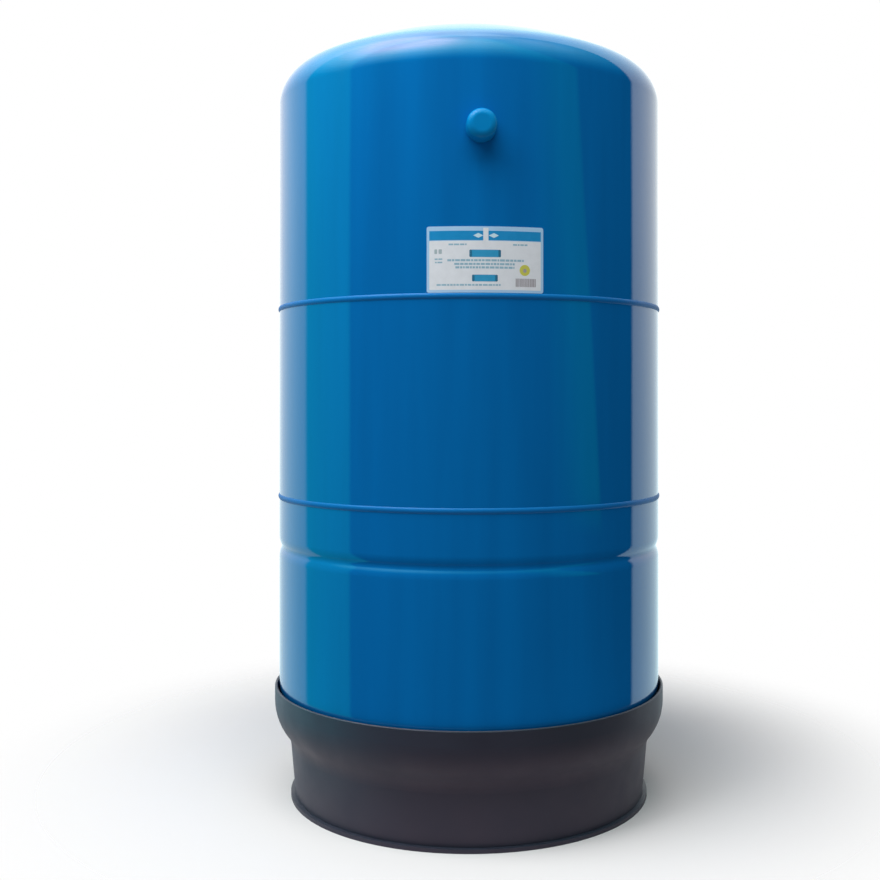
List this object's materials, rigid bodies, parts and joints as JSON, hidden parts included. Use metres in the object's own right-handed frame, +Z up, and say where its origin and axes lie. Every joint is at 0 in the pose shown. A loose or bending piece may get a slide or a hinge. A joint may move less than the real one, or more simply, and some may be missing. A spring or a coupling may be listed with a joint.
{
  "type": "water purifier pressure tank",
  "caption": "Upright steel diaphragm pressure tank with domed heads, weld seams, a rolled groove, a capped air valve, a label and a moulded base.",
  "frame": {"origin": "on the floor, on the tank's vertical axis", "axes": "+Z up; the front, with the air valve and the label, faces -Y; the water outlet points to +Y at the rear"},
  "size_m": [0.4195, 0.4532, 0.815],
  "materials": {
    "tank_paint": "smooth glossy enamel",
    "base_plastic": "fine satin moulding",
    "cap_plastic": "semi-gloss moulding",
    "label_film": "smooth satin print",
    "stainless_steel": "turned and brushed",
    "plain_steel": "mill finish",
    "spring_steel": "drawn wire",
    "valve_brass": "turned",
    "liner_plastic": "natural moulding",
    "butyl_rubber": "matt",
    "seal_rubber": "matt"
  },
  "bodies": {
    "tank": {"upper_shell": "tank_paint", "middle_shell": "tank_paint", "lower_shell": "tank_paint", "upper_weld_bead": "tank_paint", "lower_weld_bead": "tank_paint", "water_liner": "liner_plastic", "diaphragm": "butyl_rubber", "clench_ring": "plain_steel", "water_port": "stainless_steel", "port_gasket": "seal_rubber", "port_washer": "stainless_steel", "port_nut": "stainless_steel", "outlet_elbow": "stainless_steel", "outlet_pipe": "stainless_steel", "base_stand": "base_plastic", "rating_label": "label_film", "valve_boss": "plain_steel", "valve_stem": "valve_brass", "valve_o_ring": "seal_rubber", "valve_core": "valve_brass", "core_head": "valve_brass", "valve_spring": "spring_steel"},
    "air_valve_pin": {"valve_pin": "valve_brass", "pin_seal": "seal_rubber"},
    "cap_insert": {"cap_seal": "seal_rubber"},
    "screw_cap": {"valve_cap": "cap_plastic"}
  },
  "joints": [
    {"name": "pin_press", "type": "slide", "parent": "tank", "child": "air_valve_pin", "axis": [0, 1, 0], "range_m": [0, 0.0012], "stiffness_N_per_m": 800, "springref_m": -0.0006, "deforming": ["valve_spring"]},
    {"name": "cap_travel", "type": "slide", "parent": "tank", "child": "cap_insert", "axis": [0, -1, 0], "range_m": [0, 0.006]},
    {"name": "cap_turn", "type": "hinge", "parent": "cap_insert", "child": "screw_cap", "pos_m": [0, -0.205, 0.67325], "axis": [0, -1, 0], "range_deg": [0, 1440]}
  ],
  "couplings": [
    {"joint": "cap_travel", "follows": "cap_turn", "m_per_rad": 0.00023873}
  ]
}
